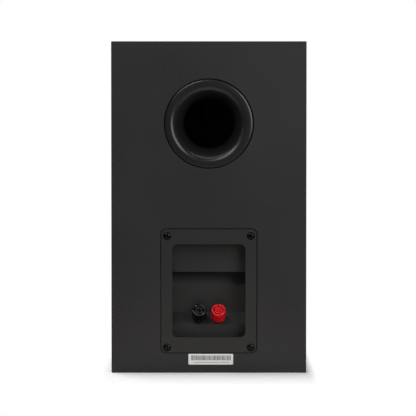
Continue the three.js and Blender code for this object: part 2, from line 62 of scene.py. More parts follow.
def finished(name, mesh, material, sharp=35):
    """The mesh as an object, cleaned, turned outwards and shaded smooth below the sharp angle."""
    work = bmesh.new()
    work.from_mesh(mesh)
    bmesh.ops.remove_doubles(work, verts=work.verts, dist=1e-7)
    bmesh.ops.dissolve_degenerate(work, edges=work.edges, dist=1e-8)
    bmesh.ops.recalc_face_normals(work, faces=work.faces)
    work.to_mesh(mesh)
    work.free()
    mesh.materials.clear()
    mesh.materials.append(material)
    mesh.shade_smooth()
    mesh.set_sharp_from_angle(angle=math.radians(sharp))
    piece = bpy.data.objects.new(name, mesh)
    bpy.context.collection.objects.link(piece)
    return piece


def rounded_rectangle(width, tall, radius, steps=8, x=0.0, z=0.0):
    """The points of a rounded rectangle round (x, z), anticlockwise."""
    centres = [(1, -1), (1, 1), (-1, 1), (-1, -1)]
    points = []
    for quarter, (sx, sz) in enumerate(centres):
        cx, cz = x + sx * (width / 2 - radius), z + sz * (tall / 2 - radius)
        for step in range(steps + 1):
            angle = math.radians(90 * (quarter - 1) + 90 * step / steps)
            points.append((cx + radius * math.cos(angle), cz + radius * math.sin(angle)))
    return points


def circle(radius, x=0.0, z=0.0, steps=128):
    angles = [2 * math.pi * step / steps for step in range(steps)]
    return [(x + radius * math.cos(a), z + radius * math.sin(a)) for a in angles]


def crisp(piece, widest):
    """Shade the faces that lie flat in the XZ plane, or are larger than widest, without smoothing."""
    for face in piece.data.polygons:
        if abs(face.normal.y) > FACING or face.area > widest:
            face.use_smooth = False
    return piece


def plate(name, outline, holes, back, front, edge, material):
    """A flat plate in the XZ plane between y = back and y = front, with its holes and rounded edges."""
    curve = bpy.data.curves.new(name, "CURVE")
    curve.dimensions = "2D"
    curve.fill_mode = "BOTH"
    curve.extrude = abs(front - back) / 2 - edge
    curve.bevel_depth = edge
    curve.bevel_resolution = 3
    curve.offset = -edge
    for loop in [outline] + [hole[::-1] for hole in holes]:
        spline = curve.splines.new("POLY")
        spline.points.add(len(loop) - 1)
        for point, (x, z) in zip(spline.points, loop):
            point.co = (x, z, 0, 1)
        spline.use_cyclic_u = True
    holder = bpy.data.objects.new(name, curve)
    bpy.context.collection.objects.link(holder)
    mesh = bpy.data.meshes.new_from_object(holder.evaluated_get(bpy.context.evaluated_depsgraph_get()))
    bpy.data.objects.remove(holder)
    mesh.transform(Matrix.Translation((0, (back + front) / 2, 0)) @ Matrix.Rotation(math.pi / 2, 4, "X"))
    return crisp(finished(name, mesh, material), PLATE_FACE)


def node_group(name, inputs, outputs):
    """A shader node group with named inputs (name, type, default) and outputs (name, type)."""
    group = bpy.data.node_groups.new(name, "ShaderNodeTree")
    for label, kind, default in inputs:
        socket = group.interface.new_socket(label, in_out="INPUT", socket_type=kind)
        socket.default_value = default
    for label, kind in outputs:
        group.interface.new_socket(label, in_out="OUTPUT", socket_type=kind)
    return group, group.nodes.new("NodeGroupInput"), group.nodes.new("NodeGroupOutput")


def linked(tree, kind, settings=None, **sockets):
    """A node whose input sockets are set to values or joined to other sockets."""
    node = tree.nodes.new(kind)
    for key, value in (settings or {}).items():
        setattr(node, key, value)
    for key, value in sockets.items():
        socket = node.inputs[int(key[1:])] if key[0] == "_" and key[1:].isdigit() else node.inputs[key]
        if isinstance(value, bpy.types.NodeSocket):
            tree.links.new(value, socket)
        else:
            socket.default_value = value
    return node


# Fine grain: a pebbled surface height with a slow drift in tone over it.
grain, g_in, g_out = node_group(
    "fine_grain",
    [("Grain per metre", "NodeSocketFloat", 900.0), ("Drift per metre", "NodeSocketFloat", 12.0),
     ("Dark", "NodeSocketColor", (0.02, 0.02, 0.02, 1)), ("Light", "NodeSocketColor", (0.03, 0.03, 0.03, 1)),
     ("Rough low", "NodeSocketFloat", 0.4), ("Rough high", "NodeSocketFloat", 0.6)],
    [("Colour", "NodeSocketColor"), ("Roughness", "NodeSocketFloat"), ("Height", "NodeSocketFloat")])
where = linked(grain, "ShaderNodeTexCoord")
pebble = linked(grain, "ShaderNodeTexVoronoi", {"feature": "SMOOTH_F1"}, Vector=where.outputs["Object"],
                Scale=g_in.outputs["Grain per metre"], Smoothness=0.6, Randomness=1.0)
fleck = linked(grain, "ShaderNodeTexNoise", None, Vector=where.outputs["Object"],
               Scale=g_in.outputs["Grain per metre"], Detail=3.0, Roughness=0.6)
drift = linked(grain, "ShaderNodeTexNoise", None, Vector=where.outputs["Object"],
               Scale=g_in.outputs["Drift per metre"], Detail=2.0, Roughness=0.5)
height = linked(grain, "ShaderNodeMath", {"operation": "MULTIPLY_ADD"}, _0=fleck.outputs["Fac"], _1=0.45,
                _2=pebble.outputs["Distance"])
tone = linked(grain, "ShaderNodeMath", {"operation": "MULTIPLY_ADD"}, _0=fleck.outputs["Fac"], _1=0.5,
              _2=drift.outputs["Fac"])
spread = linked(grain, "ShaderNodeMapRange", None, Value=tone.outputs[0],
                **{"From Min": 0.45, "From Max": 1.05})
colour = linked(grain, "ShaderNodeMix", {"data_type": "RGBA"}, Factor=spread.outputs[0])
grain.links.new(g_in.outputs["Dark"], colour.inputs[6])
grain.links.new(g_in.outputs["Light"], colour.inputs[7])
rough = linked(grain, "ShaderNodeMapRange", None, Value=spread.outputs[0])
grain.links.new(g_in.outputs["Rough low"], rough.inputs["To Min"])
grain.links.new(g_in.outputs["Rough high"], rough.inputs["To Max"])
grain.links.new(colour.outputs[2], g_out.inputs["Colour"])
grain.links.new(rough.outputs[0], g_out.inputs["Roughness"])
grain.links.new(height.outputs[0], g_out.inputs["Height"])


def grained(name, dark, light, grains, drifts, rough, bump, depth, **constants):
    """A material whose colour, roughness and relief come from the fine grain group."""
    material = bpy.data.materials.new(name)
    material.use_nodes = True
    tree = material.node_tree
    shader = tree.nodes["Principled BSDF"]
    for socket, value in constants.items():
        shader.inputs[socket.replace("_", " ")].default_value = value
    effect = tree.nodes.new("ShaderNodeGroup")
    effect.node_tree = grain
    for label, value in (("Grain per metre", grains), ("Drift per metre", drifts), ("Dark", (*dark, 1)),
                         ("Light", (*light, 1)), ("Rough low", rough[0]), ("Rough high", rough[1])):
        effect.inputs[label].default_value = value
    relief = linked(tree, "ShaderNodeBump", None, Strength=bump, Distance=depth,
                    Height=effect.outputs["Height"])
    tree.links.new(effect.outputs["Colour"], shader.inputs["Base Color"])
    tree.links.new(effect.outputs["Roughness"], shader.inputs["Roughness"])
    tree.links.new(relief.outputs["Normal"], shader.inputs["Normal"])
    return material


vinyl = grained("charcoal_vinyl", (0.0150, 0.0137, 0.0141), (0.0230, 0.0211, 0.0217), 650, 9, (0.48, 0.64),
                0.45, 0.00012)

rear_low, rear_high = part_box("rear_panel")
baffle_low, baffle_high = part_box("front_baffle")
rear_y, front_y = rear_high.y, baffle_low.y
half_width, cabinet_top = rear_high.x, rear_high.z
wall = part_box("bottom_panel")[1].z
FOLD = 0.9 * MM


def sleeve(name, near, far, material):
    """A square tube with folded edges, from y = near to y = far."""
    outer = rounded_rectangle(2 * half_width, cabinet_top, FOLD, 5, 0, cabinet_top / 2)
    inner = rounded_rectangle(2 * (half_width - wall), cabinet_top - 2 * wall, FOLD, 5, 0, cabinet_top / 2)
    count = len(outer)
    vertices = [(x, y, z) for loop in (outer, inner) for y in (near, far) for x, z in loop]
    faces = []
    for i in range(count):
        j = (i + 1) % count
        faces += [(i, j, count + j, count + i), (2 * count + i, 3 * count + i, 3 * count + j, 2 * count + j),
                  (i, 2 * count + i, 2 * count + j, j), (count + i, count + j, 3 * count + j, 3 * count + i)]
    return solid(name, vertices, faces, material)


BUTT_GAP = 0.05 * MM
cabinet_sleeve = crisp(sleeve("cabinet_sleeve", baffle_high.y + BUTT_GAP, rear_low.y - BUTT_GAP, vinyl),
                       WRAP_FACE)
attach(cabinet_sleeve, "cabinet")
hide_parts("top_panel", "bottom_panel", "left_panel", "right_panel")


# ---- Rear panel ------------------------------------------------------------------------------------
# A board with the same wrap closes the back. It is routed with a round seat for the port and a
# rectangular seat for the terminal plate, so both mouldings sit flush with a fine gap round them.
REVEAL = 0.7 * MM
flare_low, flare_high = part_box("port_flare")
cup_low, cup_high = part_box("terminal_cup")
port_x, port_z = (flare_low.x + flare_high.x) / 2, (flare_low.z + flare_high.z) / 2
port_radius = (flare_high.x - flare_low.x) / 2
cup_z = (cup_low.z + cup_high.z) / 2
cup_width, cup_tall = cup_high.x - cup_low.x, cup_high.z - cup_low.z
SEAT_DEPTH = 4.5 * MM
CUP_CORNER = 5 * MM
CUT_WIDTH, CUT_TALL, CUT_CORNER = 77.4 * MM, 97 * MM, 8 * MM

board_outline = rounded_rectangle(2 * half_width, cabinet_top, FOLD, 5, 0, cabinet_top / 2)
seats = [circle(port_radius + REVEAL, port_x, port_z),
         rounded_rectangle(cup_width + 2 * REVEAL, cup_tall + 2 * REVEAL, CUP_CORNER + REVEAL, 8, 0, cup_z)]
cutouts = [circle(port_radius - 4.7 * MM, port_x, port_z),
           rounded_rectangle(CUT_WIDTH, CUT_TALL, CUT_CORNER, 8, 0, cup_z)]
rear_face = plate("rear_face", board_outline, seats, rear_y - SEAT_DEPTH, rear_y, 0.35 * MM, vinyl)
rear_core = plate("rear_core", board_outline, cutouts, rear_low.y, rear_y - SEAT_DEPTH, 0.05 * MM, vinyl)
for piece in (rear_face, rear_core):
    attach(piece, "cabinet")
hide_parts("rear_panel")


# ---- Reflex port -----------------------------------------------------------------------------------
# One moulding holds the domed flange and the trumpet flare, and a plain tube is pushed over its neck
# inside the box. Both are black plastic with the fine texture of a spark-eroded mould.
def filleted(points, steps=6):
    """An outline of (radius, along, fillet) points with each corner turned into an arc of its fillet."""
    shaped = []
    for i, (r, s, fillet) in enumerate(points):
        here = Vector((r, s))
        if fillet == 0:
            shaped.append(here)
            continue
        before, after = Vector(points[i - 1][:2]), Vector(points[(i + 1) % len(points)][:2])
        a, b = (before - here).normalized(), (after - here).normalized()
        half = a.angle(b) / 2
        reach = min(fillet / math.tan(half), 0.49 * (before - here).length, 0.49 * (after - here).length)
        radius = reach * math.tan(half)
        centre = here + (a + b).normalized() * (radius / math.sin(half))
        start, end = here + a * reach - centre, here + b * reach - centre
        sweep = start.angle_signed(end)
        for step in range(steps + 1):
            spin = Matrix.Rotation(-sweep * step / steps, 2)
            shaped.append(centre + spin @ start)
    return [(p.x, p.y) for p in shaped]


def turned(name, outline, place, material, around=96, ripple=None):
    """A solid of revolution about its local Y, from a closed outline of (radius, along) points."""
    rings, poles = [], {}
    vertices = []
    for index, (radius, along) in enumerate(outline):
        if radius < 1e-7:
            poles[index] = len(vertices)
            vertices.append((0, along, 0))
            rings.append(None)
            continue
        rings.append(len(vertices))
        for step in range(around):
            angle = 2 * math.pi * step / around
            r = radius - (ripple(angle, radius, along) if ripple else 0)
            vertices.append((r * math.cos(angle), along, r * math.sin(angle)))
    faces = []
    for index in range(len(outline)):
        after = (index + 1) % len(outline)
        for step in range(around):
            turn = (step + 1) % around
            if rings[index] is None and rings[after] is None:
                continue
            if rings[index] is None:
                faces.append((poles[index], rings[after] + step, rings[after] + turn))
            elif rings[after] is None:
                faces.append((rings[index] + step, poles[after], rings[index] + turn))
            else:
                faces.append((rings[index] + step, rings[after] + step, rings[after] + turn,
                              rings[index] + turn))
    return solid(name, [place @ Vector(v) for v in vertices], faces, material)


moulding = grained("black_moulding", (0.0165, 0.0158, 0.0156), (0.0215, 0.0206, 0.0203), 2600, 14, (0.46, 0.58),
                   0.35, 0.00006)
port_plastic = grained("port_plastic", (0.013, 0.0127, 0.0127), (0.017, 0.0166, 0.0166), 2600, 14, (0.24, 0.30),
                       0.2, 0.00004)

THROAT, CREST, LIP, PORT_WALL = 24.5 * MM, 38.3 * MM, 2.5 * MM, 2.5 * MM
FLARE, NECK = 34 * MM, 50 * MM


def trumpet(neck, shallow, steps):
    """The flare's section, a quarter of an ellipse from the neck out to the crest, as (radius, along, 0)."""
    turns = [math.radians(90 * step / steps) for step in range(steps + 1)]
    return [(CREST - (CREST - neck) * math.cos(t), (FLARE - shallow) * math.sin(t) - FLARE, 0) for t in turns]


def rounded_shoulder(reach, drop, steps=8):
    """The flange's outer edge, a quarter of an ellipse that ends on the seat's side."""
    turns = [math.radians(84 * step / steps) for step in range(steps, -1, -1)]
    return [(port_radius - reach * (1 - math.sin(a)), -0.16 * MM - drop * (1 - math.cos(a)), 0) for a in turns]


port_outline = filleted(
    trumpet(THROAT, 0, 40)[::-1] + [(THROAT, -NECK, 0), (THROAT + PORT_WALL, -NECK, 0)]
    + trumpet(THROAT + PORT_WALL, LIP, 16) + [(port_radius, -LIP, 0)] + rounded_shoulder(3.2 * MM, 1.4 * MM))
port_place = Matrix.Translation((port_x, rear_y, port_z))
port_flare = turned("port_mouth", port_outline, port_place, port_plastic, 160)
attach(port_flare, "cabinet")
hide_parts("port_flare")

tube_low, tube_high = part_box("port_tube")
bore = THROAT + PORT_WALL + 0.2 * MM
tube_outline = filleted([(bore, tube_high.y - rear_y, 0), (bore, tube_low.y - rear_y, 1 * MM),
                         (bore + PORT_WALL, tube_low.y - rear_y, 1 * MM),
                         (bore + PORT_WALL, tube_high.y - rear_y, 0)])
port_tube = turned("port_pipe", tube_outline, port_place, port_plastic, 96)
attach(port_tube, "cabinet")
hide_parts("port_tube")


# ---- Terminal cup ----------------------------------------------------------------------------------
# A single moulding: a flat plate with a stepped recess. A shallow panel at the top drops into a deep
# pocket, whose floor turns out into the sloping wall that holds the posts, above a shallow lip.
def evaluated(name, piece, material, sharp=35):
    """The piece with its modifiers applied, as a new plain object in its place."""
    mesh = bpy.data.meshes.new_from_object(piece.evaluated_get(bpy.context.evaluated_depsgraph_get()))
    bpy.data.objects.remove(piece)
    return finished(name, mesh, material, sharp)


def prism(name, outline, axis, low, high):
    """An outline of (u, v) pairs carried from low to high along X (u, v = y, z) or Y (u, v = x, z)."""
    count = len(outline)
    if axis == "X":
        vertices = [(x, u, v) for x in (low, high) for u, v in outline]
    else:
        vertices = [(u, y, v) for y in (low, high) for u, v in outline]
    sides = [(i, (i + 1) % count, count + (i + 1) % count, count + i) for i in range(count)]
    return solid(name, vertices, sides + [tuple(range(count)), tuple(range(count, 2 * count))], moulding)


def boolean(target, tool, operation, material=moulding):
    """The target joined with, cut by or kept inside the tool, which is used up."""
    change = target.modifiers.new(operation, "BOOLEAN")
    change.operation, change.solver, change.object = operation, "EXACT", tool
    result = evaluated(target.name, target, material)
    bpy.data.objects.remove(tool)
    return result


TILT = math.radians(40)
PANEL_DEPTH, STEP_AT, ROOF_DEPTH = 11.5 * MM, 17.9 * MM, 26 * MM
RIDGE, JUNCTION, LIP_AT = (21.5 * MM, 4.4 * MM), (23 * MM, -22.5 * MM), -34 * MM
LIP_DEPTH = JUNCTION[0] - (JUNCTION[1] - LIP_AT) * math.tan(TILT)
MOUTH_WIDTH, MOUTH_TALL, CUP_WALL = 71.4 * MM, 91 * MM, 2.5 * MM
PLATE_THICK = 3 * MM


def cup_profile(shift, mouth, out):
    """The recess's floor in section, moved into the cabinet by shift, as (y, z) from the plate's face."""
    tall = MOUTH_TALL / 2 + mouth
    slope = (shift * math.cos(TILT), shift * math.sin(TILT))
    return [(rear_y + y, cup_z + z) for y, z in [
        (out, tall), (-PANEL_DEPTH - shift, tall), (-PANEL_DEPTH - shift, STEP_AT + mouth),
        (-ROOF_DEPTH - shift, STEP_AT + mouth), (-RIDGE[0] - shift, RIDGE[1]),
        (-JUNCTION[0] - slope[0], JUNCTION[1] - slope[1]), (-LIP_DEPTH - slope[0], LIP_AT - slope[1]),
        (-LIP_DEPTH - slope[0], -tall), (out, -tall)]]


cup = prism("terminal_moulding", cup_profile(CUP_WALL, CUP_WALL, -PLATE_THICK / 2), "X",
            -MOUTH_WIDTH / 2 - CUP_WALL, MOUTH_WIDTH / 2 + CUP_WALL)
round_back = rounded_rectangle(MOUTH_WIDTH + 2 * CUP_WALL, MOUTH_TALL + 2 * CUP_WALL, CUP_CORNER + CUP_WALL,
                               8, 0, cup_z)
cup = boolean(cup, prism("round_back", round_back, "Y", rear_y - 40 * MM, rear_y + 5 * MM), "INTERSECT")
face_plate = rounded_rectangle(cup_width, cup_tall, CUP_CORNER, 10, 0, cup_z)
cup = boolean(cup, prism("face_plate", face_plate, "Y", rear_y - PLATE_THICK, rear_y - 0.05 * MM), "UNION")
hollow = prism("hollow", cup_profile(0, 0, 5 * MM), "X", -MOUTH_WIDTH / 2, MOUTH_WIDTH / 2)
mouth = rounded_rectangle(MOUTH_WIDTH, MOUTH_TALL, CUP_CORNER, 10, 0, cup_z)
hollow = boolean(hollow, prism("mouth", mouth, "Y", rear_y - 40 * MM, rear_y + 10 * MM), "INTERSECT")
cup = boolean(cup, hollow, "DIFFERENCE")

screw_boxes = [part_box(f"cup_screw_{place}")
               for place in ("upper_left", "upper_right", "lower_left", "lower_right")]
screw_places = [((low.x + high.x) / 2, (low.z + high.z) / 2) for low, high in screw_boxes]
WELL_RADIUS, WELL_DEPTH = 3.95 * MM, 1.9 * MM
for index, (x, z) in enumerate(screw_places):
    well = prism(f"well_{index}", circle(WELL_RADIUS, x, z, 40), "Y", rear_y - WELL_DEPTH, rear_y + 5 * MM)
    cup = boolean(cup, well, "DIFFERENCE")
softened = cup.modifiers.new("softened", "BEVEL")
softened.width = 0.5 * MM
softened.segments = 4
softened.limit_method = "ANGLE"
softened.angle_limit = math.radians(18)
softened.use_clamp_overlap = True
terminal_moulding = crisp(evaluated("terminal_moulding", cup, moulding, 40), PLATE_FACE)
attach(terminal_moulding, "cabinet")
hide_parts("terminal_cup")


# ---- Cup screws ------------------------------------------------------------------------------------
# Four black cross-head screws hold the plate on a foam gasket, sunk in wells at its corners. One
# shaped screw is repeated at the four places.
def shape_input(tree, label, kind):
    return tree.interface.new_socket(label, in_out="INPUT", socket_type=kind)


def set_input(modifier, label, value):
    tree = modifier.node_group
    socket = next(s for s in tree.interface.items_tree if s.name == label and s.in_out == "INPUT")
    modifier[socket.identifier] = value


repeated = bpy.data.node_groups.new("repeated_at_points", "GeometryNodeTree")
shape_input(repeated, "Places", "NodeSocketGeometry")
shape_input(repeated, "Pattern", "NodeSocketObject")
shape_input(repeated, "Finish", "NodeSocketMaterial")
turn_input = shape_input(repeated, "Turn step", "NodeSocketFloat")
turn_input.default_value = 1.0
seed_input = shape_input(repeated, "Seed", "NodeSocketInt")
seed_input.default_value = 4
repeated.interface.new_socket("Mesh", in_out="OUTPUT", socket_type="NodeSocketGeometry")
r_in, r_out = repeated.nodes.new("NodeGroupInput"), repeated.nodes.new("NodeGroupOutput")
pattern = linked(repeated, "GeometryNodeObjectInfo", {"transform_space": "ORIGINAL"},
                 Object=r_in.outputs["Pattern"])
any_turn = linked(repeated, "FunctionNodeRandomValue", {"data_type": "FLOAT"}, Seed=r_in.outputs["Seed"])
turn = linked(repeated, "ShaderNodeMath", {"operation": "MULTIPLY"}, _0=any_turn.outputs[1],
              _1=r_in.outputs["Turn step"])
spin = linked(repeated, "ShaderNodeCombineXYZ", None, Y=turn.outputs[0])
placed = linked(repeated, "GeometryNodeInstanceOnPoints", None, Points=r_in.outputs["Places"],
                Instance=pattern.outputs["Geometry"], Rotation=spin.outputs[0])
real = linked(repeated, "GeometryNodeRealizeInstances", None, Geometry=placed.outputs[0])
painted = linked(repeated, "GeometryNodeSetMaterial", None, Geometry=real.outputs[0],
                 Material=r_in.outputs["Finish"])
repeated.links.new(painted.outputs[0], r_out.inputs[0])


def repeat_at(name, places, pattern_piece, material, turn_step=0.0, seed=4):
    """One mesh that holds the pattern piece at each place."""
    mesh = bpy.data.meshes.new(name)
    mesh.from_pydata(places, [], [])
    holder = bpy.data.objects.new(name, mesh)
    bpy.context.collection.objects.link(holder)
    modifier = holder.modifiers.new("repeated", "NODES")
    modifier.node_group = repeated
    for label, value in (("Pattern", pattern_piece), ("Finish", material), ("Turn step", turn_step),
                         ("Seed", seed)):
        set_input(modifier, label, value)
    result = evaluated(name, holder, material)
    bpy.data.objects.remove(pattern_piece)
    return result


black_zinc = grained("black_zinc", (0.012, 0.012, 0.013), (0.028, 0.028, 0.03), 3000, 60, (0.12, 0.2), 0.15,
                     0.00003, Metallic=0.85)


def cross_head(name, head, shank, dome, length, out):
    """A cross-head screw with its seat at the origin, pointing out along +Y or -Y."""
    outline = [(0, -length * MM), (shank * 0.3 * MM, -length * MM), (shank * MM, -(length - 2) * MM),
               (shank * MM, 0)]
    outline += filleted([(head * MM, 0, 0), (head * MM, dome * 0.5 * MM, 0.4 * MM),
                         (head * 0.6 * MM, dome * 0.93 * MM, 1.5 * MM), (0, dome * MM, 0)])[:-1]
    outline.append((0, dome * MM))
    body = turned(name, outline, Matrix.Identity(4), black_zinc, 40)
    width, reach = head * 0.2 * MM, head * 0.58 * MM
    for a, b in ((reach, width), (width, reach)):
        slot = prism("slot", [(-a, -b), (a, -b), (a, b), (-a, b)], "Y", dome * 0.35 * MM, dome * 2 * MM)
        body = boolean(body, slot, "DIFFERENCE", black_zinc)
    if out < 0:
        body.data.transform(Matrix.Rotation(math.pi, 4, "X"))
    return body


screw_seat = rear_y - WELL_DEPTH
cup_screws = repeat_at("cup_screws", [(x, screw_seat + 0.05 * MM, z) for x, z in screw_places],
                       cross_head("cup_screw", 3.4, 1.5, 1.7, 9, 1), black_zinc, 1.2)
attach(cup_screws, "cabinet")
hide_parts(*[f"cup_screw_{p}" for p in ("upper_left", "upper_right", "lower_left", "lower_right")])

foam = grained("black_foam", (0.010, 0.010, 0.010), (0.016, 0.016, 0.016), 1800, 30, (0.85, 0.98), 0.6, 0.0002)
gasket = plate("foam_gasket", rounded_rectangle(cup_width - 1 * MM, cup_tall - 1 * MM, CUP_CORNER, 8, 0, cup_z),
               [rounded_rectangle(77.6 * MM, 97.2 * MM, 8 * MM, 8, 0, cup_z)],
               rear_y - 4.25 * MM, rear_y - 3.2 * MM, 0.2 * MM, foam)
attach(gasket, "cabinet")
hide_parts("cup_gasket")


# ---- Binding posts ---------------------------------------------------------------------------------
# A turned brass stem stands on the sloping wall, with a clamp washer and a screw cap that runs down
# its thread. The caps are glossy plastic with fine flutes, and a dished plug closes each end hole.
brass = grained("turned_brass", (0.42, 0.28, 0.10), (0.62, 0.43, 0.17), 2500, 80, (0.16, 0.3), 0.1, 0.00002,
                Metallic=1.0)


def gloss(name, dark, light, roughness, coat):
    return grained(name, dark, light, 1500, 120, roughness, 0.12, 0.00003, Coat_Weight=coat,
                   Coat_Roughness=0.06, IOR=1.5)


red_plastic = gloss("red_cap_plastic", (0.66, 0.003, 0.007), (0.82, 0.006, 0.012), (0.16, 0.24), 0.15)
black_plastic = gloss("black_cap_plastic", (0.002, 0.002, 0.0022), (0.0035, 0.0035, 0.0038), (0.12, 0.2), 0.15)

POST_BASE = -28 * MM
base_depth = JUNCTION[0] - (JUNCTION[1] - POST_BASE) * math.tan(TILT)
STEM, BORE, COLLAR = 2.9, 1.9, 5.8
CAP, CAP_FROM, CAP_TO, EYE, EYE_FROM, PLUG = 7.1, 3.3, 14.6, 4.7, 11.3, 4.1
SKIRT, SKIRT_FROM = 6.55, 1.9
FLUTES = 18


def flute(angle, radius, along):
    """How far the cap's side sinks between its ribs, in metres."""
    if radius < (CAP - 0.35) * MM or not (CAP_FROM + 1.2) * MM < along < (CAP_TO - 1.0) * MM:
        return 0
    return 0.28 * MM * (0.5 - 0.5 * math.cos(FLUTES * angle)) ** 0.7


def scaled(outline):
    return [(r * MM, s * MM, *[f * MM for f in rest]) for r, s, *rest in outline]


def half_round(middle, along, reach, rise, steps=14):
    """The cap's rounded rim in section, from its outside over to its end hole."""
    turns = [math.pi * step / steps for step in range(steps + 1)]
    return [(middle + reach * math.cos(a), along + rise * math.sin(a), 0) for a in turns]


def binding_post(colour, side, plastic, slot):
    x = (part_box(f"{colour}_post_stem")[0].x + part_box(f"{colour}_post_stem")[1].x) / 2
    place = (Matrix.Translation((x, rear_y - base_depth, cup_z + POST_BASE)) @ Matrix.Rotation(TILT, 4, "X"))
    thread = []
    for turn_count in range(9):
        s = 3.6 + 0.8 * turn_count
        thread += [(STEM, s, 0), (STEM - 0.28, s + 0.4, 0)]
    stem = turned(f"{colour}_post_stem_turned", filleted(scaled(
        [(0, -9.5, 0), (STEM - 0.4, -9.5, 0), (STEM, -9, 0), (STEM, 0.3, 0), (COLLAR, 0.3, 0.15),
         (COLLAR, 1.3, 0.3), (STEM, 1.3, 0)] + thread
        + [(STEM, 10.9, 0.2), (BORE, 10.9, 0.2), (BORE, 2, 0), (0, 2, 0)])), place, brass, 48)
    washer = turned(f"{colour}_clamp_washer", filleted(scaled(
        [(STEM + 0.35, 1.6, 0), (COLLAR + 0.6, 1.6, 0.3), (COLLAR + 0.6, 3.0, 0.3), (STEM + 0.35, 3.0, 0)])),
        place, brass, 64)
    cap = turned(f"{colour}_screw_cap", filleted(scaled(
        [(STEM + 0.35, CAP_FROM, 0), (SKIRT, CAP_FROM, 0.1), (SKIRT, SKIRT_FROM, 0.1),
         (CAP - 0.2, SKIRT_FROM, 0.15), (CAP, CAP_FROM + 0.8, 0.3)]
        + [(CAP, CAP_FROM + 0.8 + 0.25 * k, 0) for k in range(1, 38)]
        + half_round((CAP + EYE) / 2, CAP_TO - 1.1, (CAP - EYE) / 2, 1.1) + [(EYE - 0.1, EYE_FROM, 0.3),
           (STEM + 0.35, EYE_FROM, 0)])), place, plastic, FLUTES * 10, flute)
    plug = turned(f"{colour}_dust_plug", filleted(scaled(
        [(0, 5.5, 0), (BORE - 0.5, 5.5, 0), (BORE - 0.2, 6.4, 0), (BORE - 0.2, EYE_FROM + 0.3, 0),
         (PLUG, EYE_FROM + 0.3, 0.3), (PLUG, CAP_TO - 0.6, 0.5), (PLUG - 1.0, CAP_TO - 0.5, 0.3),
         (PLUG - 1.7, CAP_TO - 1.3, 0.5), (0, CAP_TO - 1.2, 0)])), place, plastic, 64)
    for piece, part, body, finish in (
            (stem, "stem", "cabinet", "brass"), (washer, "washer", f"{colour}_washer", "brass"),
            (cap, "cap", f"{colour}_cap", slot), (plug, "plug", f"{colour}_plug", slot)):
        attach(piece, body)
        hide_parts(f"{colour}_post_{part}")


binding_post("red", -1, red_plastic, "red_plastic")
binding_post("black", 1, black_plastic, "black_plastic")


# ---- Polarity marks --------------------------------------------------------------------------------
# A small raised minus and plus are moulded on the cup's lip under the black and the red post, and
# the plus is filled with red paint.
red_paint = grained("red_mark_paint", (0.055, 0.012, 0.013), (0.075, 0.015, 0.016), 2000, 100, (0.4, 0.5), 0.1,
                    0.00002)
grey_paint = grained("grey_mark_paint", (0.055, 0.055, 0.055), (0.075, 0.075, 0.075), 2000, 100, (0.4, 0.5),
                     0.1, 0.00002)
MARK_Z = cup_z - 39.3 * MM
mark_y = rear_y - LIP_DEPTH
long_arm, short_arm = 2.4 * MM, 0.45 * MM


def mark(name, x, arms, material):
    a, b = long_arm / 2, short_arm / 2
    if arms == 2:
        loops = [(-a, -b), (-b, -b), (-b, -a), (b, -a), (b, -b), (a, -b), (a, b), (b, b), (b, a), (-b, a),
                 (-b, b), (-a, b)]
    else:
        loops = [(-a, -b), (a, -b), (a, b), (-a, b)]
    piece = plate(name, [(x + u, MARK_Z + v) for u, v in loops], [], mark_y - 0.1 * MM, mark_y + 0.12 * MM,
                  0.04 * MM, material)
    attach(piece, "cabinet")


mark("plus_mark", -9.5 * MM, 2, red_paint)
mark("minus_mark", 9.5 * MM, 1, grey_paint)


# ---- Rating label ----------------------------------------------------------------------------------
# A white paper sticker under the cup, printed with plain grey bars and a row of dashes. It is glued
# flat on the rear panel's wrap.
sticker_paper = grained("sticker_paper", (0.90, 0.90, 0.89), (0.97, 0.97, 0.96), 700, 40, (0.4, 0.55), 0.08,
                        0.00003)
print_ink = grained("print_ink", (0.07, 0.07, 0.07), (0.11, 0.11, 0.11), 1500, 90, (0.45, 0.55), 0.05, 0.00002)
pale_ink = grained("pale_ink", (0.30, 0.30, 0.30), (0.38, 0.38, 0.38), 1500, 90, (0.45, 0.55), 0.05, 0.00002)
label_low, label_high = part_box("rear_label")
label_x, label_z = (label_low.x + label_high.x) / 2, (label_low.z + label_high.z) / 2
label_width, label_tall = label_high.x - label_low.x, label_high.z - label_low.z
sticker = plate("sticker", rounded_rectangle(label_width, label_tall, 0.8 * MM, 6, label_x, label_z), [],
                rear_y + 0.02 * MM, label_high.y, 0.05 * MM, sticker_paper)
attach(sticker, "cabinet")
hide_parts("rear_label")


def bars(name, rows, ink):
    """Printed bars on the sticker, as (left, right, height, thickness) in millimetres from its centre."""
    vertices, faces = [], []
    y = label_high.y + 0.006 * MM
    for left, right, z, thick in rows:
        start = len(vertices)
        vertices += [(label_x + u * MM, y - d * MM, label_z + (z + v * thick / 2) * MM)
                     for d in (0.0, 0.02) for u, v in ((left, -1), (right, -1), (right, 1), (left, 1))]
        faces += [tuple(start + i for i in face) for face in (
            (0, 1, 2, 3), (4, 7, 6, 5), (0, 4, 5, 1), (1, 5, 6, 2), (2, 6, 7, 3), (3, 7, 4, 0))]
    piece = solid(name, vertices, faces, ink)
    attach(piece, "cabinet")


strokes = random.Random(7)
code, left = [], -19.6
while left < 19.2:
    thick = strokes.choice((0.35, 0.5, 0.7))
    code.append((left, min(left + thick, 19.6), 1.35, 4.7))
    left += thick + strokes.choice((0.3, 0.4, 0.5))
dashes, left = [], -17.6
while left < 16.5:
    length = strokes.uniform(0.5, 1.5)
    dashes.append((left, left + length, -3.0, 0.9))
    left += length + 0.55
bars("label_code", code, print_ink)
bars("label_dashes", dashes, pale_ink)


